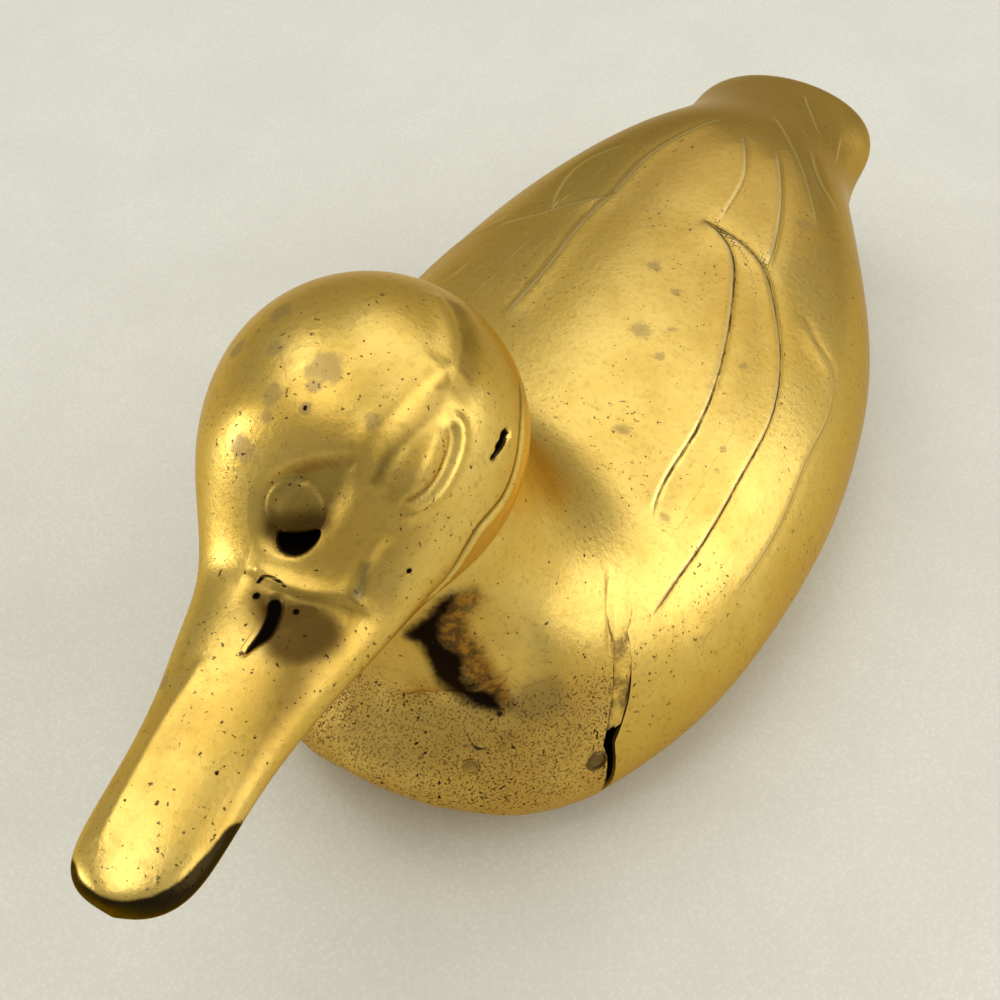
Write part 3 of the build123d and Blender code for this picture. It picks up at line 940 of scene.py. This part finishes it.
for place, width, top, bottom in ball_sections:
    head_rings.append(oval(head_angles, (0.0, -place * head_length / 2, 0.0), width * head_width / 2,
                           top * head_height / 2, bottom * head_height / 2))
for place, width, depth in bill_sections:
    run = place * bill_length
    half_width = (12.8 + width * (21.8 - 12.8)) / 2
    half_depth = (4.8 + depth * (14.0 - 4.8)) / 2
    centre = (run * math.tan(math.radians(-5.0)), -head_length / 2 - run,
              -4.0 - run * math.tan(math.radians(3.2)))
    head_rings.append(oval(head_angles, centre, half_width, half_depth, half_depth))
head_fine = smoothed(np.array(head_rings), 600)
head_run = lengths_along(head_fine)
head_rows = 280
head_skin = respaced(head_fine, head_run, np.zeros(head_columns), head_run[-1], head_rows)
head_cos, head_sin = math.cos(head_turn), math.sin(head_turn)
head_skin = head_skin @ np.array([(head_cos, head_sin, 0.0), (-head_sin, head_cos, 0.0),
                                  (0.0, 0.0, 1.0)]) + head_spot
head_tree = tree_of(head_skin[::2, ::2])
flat_head = head_skin.reshape(-1, 3)
head_out = outward(head_skin).reshape(-1, 3)


def head_shape(*places):
    return inside_shape(flat_head, head_out, seen_on(head_tree, places))


def head_line(*places):
    return beside_line(flat_head, head_out, seen_on(head_tree, places))


# the right eye: a socket cut down round a ball, with a deep half-moon under it
socket = head_shape(
    (262, 540), (257, 520), (257, 500), (266, 484), (282, 472), (303, 463), (332, 456), (354, 453),
    (363, 459), (358, 479), (349, 501), (336, 521), (321, 537), (300, 552), (280, 550))
ball_radius = 3.1
ball_spot = seen_on(head_tree, [(291, 511)])[0]
ball_out = np.linalg.norm(flat_head - ball_spot, axis=1) / ball_radius
moon = head_shape(
    (272, 533), (285, 534), (300, 534), (319, 530), (319, 540), (308, 552), (295, 558), (281, 555),
    (272, 545))
relief = -1.05 * eased(socket, -1.2, 1.9)
relief += 0.75 * np.sqrt(np.maximum(0.0, 1 - ball_out ** 2)) * eased(socket, 0.0, 0.8)
relief -= 1.7 * eased(moon, -0.1, 0.5)

# the left eye: a raised ball behind a rim, under a brow cut free of the forehead
globe = head_shape(
    (390, 510), (385, 494), (389, 475), (401, 453), (417, 433), (434, 421), (445, 430), (447, 452),
    (441, 476), (428, 497), (408, 511))
lid_rim = head_line((449, 412), (460, 424), (462, 445), (455, 468), (438, 496), (416, 512), (398, 518))
brow = head_line((458, 372), (444, 390), (430, 407), (408, 430), (388, 453), (376, 476), (366, 496))
tear = head_shape(
    (508, 427), (503, 430), (498, 443), (494, 454), (489, 463), (498, 458), (505, 447), (511, 434))
relief += 0.60 * eased(globe, -0.5, 2.6) - 0.9 * eased(tear, -0.1, 0.25)
relief += 0.40 * ridge(lid_rim, 0.65) - 0.25 * ridge(lid_rim, 0.5, 1.3)
relief += 0.30 * ridge(brow, 1.5, 2.2) - 0.35 * ridge(brow, 1.1, -0.1)

# the ledge down the left cheek, the crease behind the left brow, and the step where the bill starts
ledge = head_line(
    (519, 376), (522, 414), (515, 469), (501, 501), (478, 529), (462, 556), (444, 582), (424, 602))
crease = head_line((430, 291), (451, 333), (449, 360), (432, 392))
root = head_line(
    (244, 570), (256, 574), (272, 584), (286, 590), (302, 595), (320, 598), (342, 601), (354, 606),
    (368, 616))
lid = head_line((342, 600), (350, 588), (356, 575), (364, 561), (376, 542), (392, 530))
nostril = head_shape(
    (266, 598), (278, 596), (282, 606), (276, 626), (268, 638), (254, 646), (243, 655), (247, 645),
    (258, 632), (266, 615))
stripe = head_line((205, 655), (201, 664), (173, 706), (150, 744), (131, 779), (112, 815), (95, 852))
relief += 0.15 * ridge(ledge, 0.6, -1.0) - 0.25 * ridge(ledge, 0.45)
relief += 0.30 * ridge(crease, 1.3) + 0.22 * ridge(stripe, 0.9)
relief += 0.30 * ridge(root, 1.6) * eased(root[0], 0.5, -0.5)
relief -= 0.30 * ridge(root, 2.2) * eased(root[0], -0.5, 0.5)
relief += 0.26 * ridge(lid, 0.8) - 0.20 * ridge(lid, 0.7, 1.3)
relief -= 0.8 * eased(nostril, -0.5, 0.5)
flat_head = flat_head + head_out * relief[:, None]

# black marks, painted shade in holes, slits, grooves and pits: how far inside each a point lies
arc = line_mark(flat_head, head_out, seen_on(head_tree, [(253, 585), (262, 578), (272, 578), (282, 584),
                                                         (289, 591)]), 0.20)
groove_mark = line_mark(flat_head, head_out, seen_on(head_tree, [(440, 436), (444, 448), (442, 464),
                                                                 (437, 476)]), 0.14)
head_holes = inside_dots(flat_head, dots_on(
    head_tree, (256, 595, 0.45), (296, 611, 0.4), (305, 408, 0.3), (409, 571, 0.35), (217, 773, 0.25),
    (157, 803, 0.25)))
head_hole_shade = np.maximum.reduce([moon, nostril, tear, arc, groove_mark, head_holes])
root_patch = head_shape(
    (250, 588), (268, 592), (300, 602), (325, 606), (342, 622), (340, 645), (322, 660), (298, 668),
    (272, 660), (262, 640), (254, 612))
root_dark = head_shape(
    (284, 605), (300, 602), (322, 607), (318, 618), (300, 622), (286, 628), (276, 640), (276, 622))
bill_side = head_shape(
    (300, 600), (365, 612), (352, 655), (310, 710), (262, 775), (235, 825), (205, 868), (192, 862),
    (212, 810), (235, 750), (256, 700), (275, 650))
# painted reflection: the rounded edge under the bill's tip is painted black for the dark it reflects
bill_lip_reflection = painted(flat_head, head_out + away * 2.0, [
    (60, 852), (74, 856), (83, 880), (97, 894), (118, 902), (148, 898), (176, 884), (202, 858), (234, 818),
    (250, 826), (218, 882), (190, 912), (150, 940), (98, 935), (56, 892)])
# painted shade: the eye socket, the valleys and grooves round the eyes, the bill root and the far side of the
# bill are painted brown where they lie in shade and reflect the dark
head_painted_shade = np.maximum.reduce([
    eased(socket, -1.5, 1.2) * (0.55 + 0.45 * eased(moon, -3.0, -0.5)),
    0.95 * eased(root_patch, -2.2, 1.2),
    1.25 * eased(root_dark, -0.9, 0.7),
    0.60 * eased(bill_side, -1.2, 2.5),
    0.80 * ridge(ledge, 0.35),
    0.60 * ridge(lid_rim, 0.4, 1.4),
    0.30 * eased(globe, -0.8, 0.6),
    0.60 * near_spots(flat_head, dots_on(head_tree, (440, 388, 1.4))),
    0.55 * ridge(brow, 1.0, -0.15),
    0.55 * crease[1] * eased(crease[0], -0.3, -1.5) * eased(crease[0], -5.5, -2.5),
    0.60 * root[1] * eased(root[0], 0.0, 0.6) * eased(root[0], 2.2, 0.8),
])
head_patina = near_spots(flat_head, dots_on(
    head_tree, (274, 349, 1.7), (325, 368, 2.9), (315, 385, 1.5), (271, 396, 1.9), (305, 408, 1.0),
    (373, 421, 1.5), (266, 416, 1.2), (244, 450, 2.3), (281, 312, 2.3), (237, 349, 1.8), (164, 682, 1.2)))
head_moss = head_shape((362, 562), (374, 558), (370, 580), (362, 604), (348, 598), (354, 582))

head_points = np.concatenate([flat_head, [flat_head[:head_columns].mean(axis=0)],
                              [flat_head[-head_columns:].mean(axis=0)]])
head_faces = grid_faces(head_rows, head_columns)
for j in range(head_columns):
    k = (j + 1) % head_columns
    last = (head_rows - 1) * head_columns
    head_faces.append((k, j, head_rows * head_columns))
    head_faces.append((last + j, last + k, head_rows * head_columns + 1))

stub_rows = 50
stub_skin = respaced(neck_skin, neck_run, joint_place, neck_run[-1], stub_rows)
stub_skin = run_together(stub_skin, outward(stub_skin), head_tree, 2.0)
stub_flat = stub_skin.reshape(-1, 3)
stub_out = outward(stub_skin).reshape(-1, 3)
stub_flat = stub_flat + stub_out * dented(stub_flat)[:, None]
stub_readings = burnt_on(stub_flat, stub_out)
stub_faces = grid_faces(stub_rows, neck_columns)
shift = len(head_points)
head_faces += [tuple(corner + shift for corner in face) for face in stub_faces]
head_points = np.concatenate([head_points, stub_flat])


def kept_on_head(values, fill=0.0, stub=None):
    whole = np.full(len(head_points), fill)
    whole[:len(values)] = values
    if len(values):
        whole[len(values)] = values[:head_columns].mean()
        whole[len(values) + 1] = values[-head_columns:].mean()
    if stub is not None:
        whole[shift:] = stub
    return whole


patina_brown = (0.24, 0.17, 0.08, 1.0)
socket_shade_brown = (0.085, 0.045, 0.009, 1.0)
moss_green = (0.11, 0.09, 0.035, 1.0)
lip_reflection_black = (0.014, 0.009, 0.005, 1.0)
cut_shade_black = (0.010, 0.006, 0.003, 1.0)
head_brass, shader, place, base, rough, height = brass("handled_brass")
base, pits, low = pitted(place, base)
base, rough, height, burnt = scorched(place, base, rough, height)
patina = place.frayed("patina", 1.3, 0.20, 0.60, 500.0, 5.0, 0.7)
base = (patina * 0.50).mixed(base, patina_brown)
base = (pits * 0.9).mixed(base, pit_black)
# painted shade: brown in the socket, the valleys and grooves and on the bill's far side
brown = place.frayed("brown", 0.35, 0.05, 1.0, 300.0, 4.0, 0.6)
base = (brown * 0.96).mixed(base, socket_shade_brown)
moss = place.frayed("moss", 1.5, -0.5, 0.8, 350.0)
base = (moss * 0.8).mixed(base, moss_green)
# painted reflection: black along the edge under the bill's tip
lip_reflection = place.frayed("lip_reflection", 0.5, -0.15, 0.25, 400.0)
base = (lip_reflection * 0.97).mixed(base, lip_reflection_black)
# painted shade: black in the holes, slits, grooves and pits of the head
hole_shade = place.frayed("hole_shade", 0.12, -0.03, 0.12, 900.0)
base = hole_shade.mixed(base, cut_shade_black)
dull = hole_shade.most((brown * 0.9).most(lip_reflection)).most(burnt)
settle(shader, base, rough + patina * 0.12 + brown * 0.12 + hole_shade * 0.45, height - hole_shade * 1.5, dull)
finished_piece("head_shell", head_points, head_faces, head_brass, "head_casting",
               {"hole_shade": kept_on_head(head_hole_shade, unmarked), "brown": kept_on_head(head_painted_shade),
                "patina": kept_on_head(head_patina), "lip_reflection": kept_on_head(bill_lip_reflection, unmarked),
                "moss": kept_on_head(head_moss, unmarked), "low": kept_on_head([], 0.0, low_down(stub_flat)),
                **{label: kept_on_head([], unmarked, values) for label, values in stub_readings.items()}})


# Neck braze: the ring of hard solder between the collar and the head's stub. Filed nearly flush at the
# sides and back, and left as a burnt crust in front.
class Tree:
    """A tree of geometry steps, joined as they are made."""

    def __init__(self, name):
        self.group = bpy.data.node_groups.new(name, "GeometryNodeTree")
        self.group.interface.new_socket("Geometry", in_out="INPUT", socket_type="NodeSocketGeometry")
        self.group.interface.new_socket("Geometry", in_out="OUTPUT", socket_type="NodeSocketGeometry")
        self.start = self.group.nodes.new("NodeGroupInput")

    def asked(self, label, kind):
        """A named input of the tree."""
        self.group.interface.new_socket(label, in_out="INPUT", socket_type=kind)
        return self.start.outputs[label]

    def step(self, kind, inputs=None, settings=None, output=0):
        made = self.group.nodes.new(kind if "Node" in kind else "GeometryNode" + kind)
        for label, value in (settings or {}).items():
            setattr(made, label, value)
        for label, value in (inputs or {}).items():
            if isinstance(value, bpy.types.NodeSocket):
                self.group.links.new(value, made.inputs[label])
            else:
                made.inputs[label].default_value = value
        return made.outputs[output]

    def lumpy(self, shape, scale, detail, lumps):
        """A shape with its skin pushed in and out by a cloudy noise."""
        cloud = self.step("ShaderNodeTexNoise", {"Vector": self.step("InputPosition"), "Scale": scale,
                                                 "Detail": detail}, None, "Fac")
        push = self.step("ShaderNodeMath", {0: cloud, 1: 0.5}, {"operation": "SUBTRACT"})
        push = self.step("ShaderNodeMath", {0: push, 1: lumps}, {"operation": "MULTIPLY"})
        push = self.step("ShaderNodeVectorMath", {0: self.step("InputNormal"), "Scale": push},
                         {"operation": "SCALE"})
        return self.step("SetPosition", {0: shape, "Offset": push})

    def grown(self, name, points, edges, kept, last, material, answers, slot, node):
        """The mesh the tree makes from points and edges, as a new object."""
        end = self.group.nodes.new("NodeGroupOutput")
        real = self.step("RealizeInstances", {0: last})
        self.group.links.new(self.step("SetMaterial", {0: real, "Material": material}), end.inputs[0])
        seed = bpy.data.meshes.new(name + "_path")
        seed.from_pydata((points * MM).tolist(), edges, [])
        for label, values in kept.items():
            vector = np.ndim(values) == 2
            layer = seed.attributes.new(label, "FLOAT_VECTOR" if vector else "FLOAT", "POINT")
            layer.data.foreach_set("vector" if vector else "value", np.asarray(values, np.float32).ravel())
        piece = bpy.data.objects.new(name, seed)
        bpy.context.collection.objects.link(piece)
        modifier = piece.modifiers.new("grown", "NODES")
        modifier.node_group = self.group
        for socket in self.group.interface.items_tree:
            if socket.in_out == "INPUT" and socket.name in answers:
                modifier[socket.identifier] = answers[socket.name]
        view = bpy.context.evaluated_depsgraph_get()
        mesh = bpy.data.meshes.new_from_object(piece.evaluated_get(view))
        piece.modifiers.clear()
        piece.data = mesh
        mesh.name = name
        mesh.shade_smooth()
        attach(piece, "root")
        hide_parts(node)


burnt_braze, shader, place, base, rough, height = brass("burnt_braze")
base, rough, height, burnt = scorched(place, base, rough, height)
settle(shader, base, rough, height, burnt, 0.2)

joint_loop = respaced(neck_skin, neck_run, joint_place, joint_place, 1)[0]
joint_centre = joint_loop.mean(axis=0)
joint_out = joint_loop - joint_centre
joint_out /= np.linalg.norm(joint_out, axis=1, keepdims=True)
joint_readings = burnt_on(joint_loop, joint_out)
joint_proud = eased(joint_readings["scorch"], -1.0, 0.5)
joint_loop = joint_loop - joint_out * (1.35 - 0.85 * joint_proud)[:, None]
joint_edges = [(j, (j + 1) % neck_columns) for j in range(neck_columns)]

bead = Tree("bead_along_path")
bead_radius = bead.asked("Radius", "NodeSocketFloat")
bead_lumps = bead.asked("Lumps", "NodeSocketFloat")
path = bead.step("MeshToCurve", {0: bead.start.outputs[0]})
profile = bead.step("CurvePrimitiveCircle", {"Resolution": 16, "Radius": bead_radius})
tube = bead.lumpy(bead.step("CurveToMesh", {0: path, 1: profile}), 420.0, 3.0, bead_lumps)
bead.grown("neck_braze", joint_loop, joint_edges, joint_readings, tube, burnt_braze,
           {"Radius": 0.85 * MM, "Lumps": 0.7 * MM}, "braze", "neck_seam_braze")


# Core plugs: the pins that close the holes of the core supports, cut off and hammered nearly flush,
# each with a burr round it.
plug_brass, shader, place, base, rough, height = brass("plug_metal")
shade = place.noise(260.0).between(0.40, 0.60)
base = (shade * 0.4 + 0.25).mixed(base, (0.16, 0.10, 0.03, 1.0))
rear = place.node("ShaderNodeSeparateXYZ", 1, None, {0: place}).between(-0.0400, -0.0385)
base = (rear * 0.75).mixed(base, (0.05, 0.03, 0.012, 1.0))
settle(shader, base, rough + 0.1, height, shade * 0.8)

pins = Tree("pins_on_points")
ring_share = pins.asked("Ring", "NodeSocketFloat")
flatness = pins.asked("Flatness", "NodeSocketFloat")
lumps = pins.asked("Lumps", "NodeSocketFloat")
dome = pins.step("MeshUVSphere", {"Segments": 32, "Rings": 16, "Radius": 0.86})
low_shape = pins.step("ShaderNodeCombineXYZ", {0: 1.0, 1: 1.0, 2: flatness})
dome = pins.step("Transform", {0: dome, "Scale": low_shape})
circle = pins.step("CurvePrimitiveCircle", {"Resolution": 40, "Radius": 1.0})
section = pins.step("CurvePrimitiveCircle", {"Resolution": 10, "Radius": ring_share})
burr = pins.step("CurveToMesh", {0: circle, 1: section})
pin = pins.step("JoinGeometry", {0: dome})
pins.group.links.new(burr, pin.node.inputs[0])
facing = pins.step("InputNamedAttribute", {"Name": "facing"}, {"data_type": "FLOAT_VECTOR"}, "Attribute")
half = pins.step("InputNamedAttribute", {"Name": "half"}, {"data_type": "FLOAT"}, "Attribute")
turned = pins.step("FunctionNodeAlignRotationToVector", {"Vector": facing}, {"axis": "Z"})
stood = pins.step("InstanceOnPoints", {0: pins.start.outputs[0], "Instance": pin, "Rotation": turned,
                                       "Scale": half})
stood = pins.lumpy(pins.step("RealizeInstances", {0: stood}), 900.0, 2.0, lumps)
pins.grown("core_pins", np.array([spot[:] for spot, way in plug_fits]), [],
           {"facing": np.array([way[:] for spot, way in plug_fits]), "half": np.array(plug_half) * MM},
           stood, plug_brass, {"Ring": 0.14, "Flatness": 0.16, "Lumps": 0.3 * MM}, "plug_brass", "core_plugs")
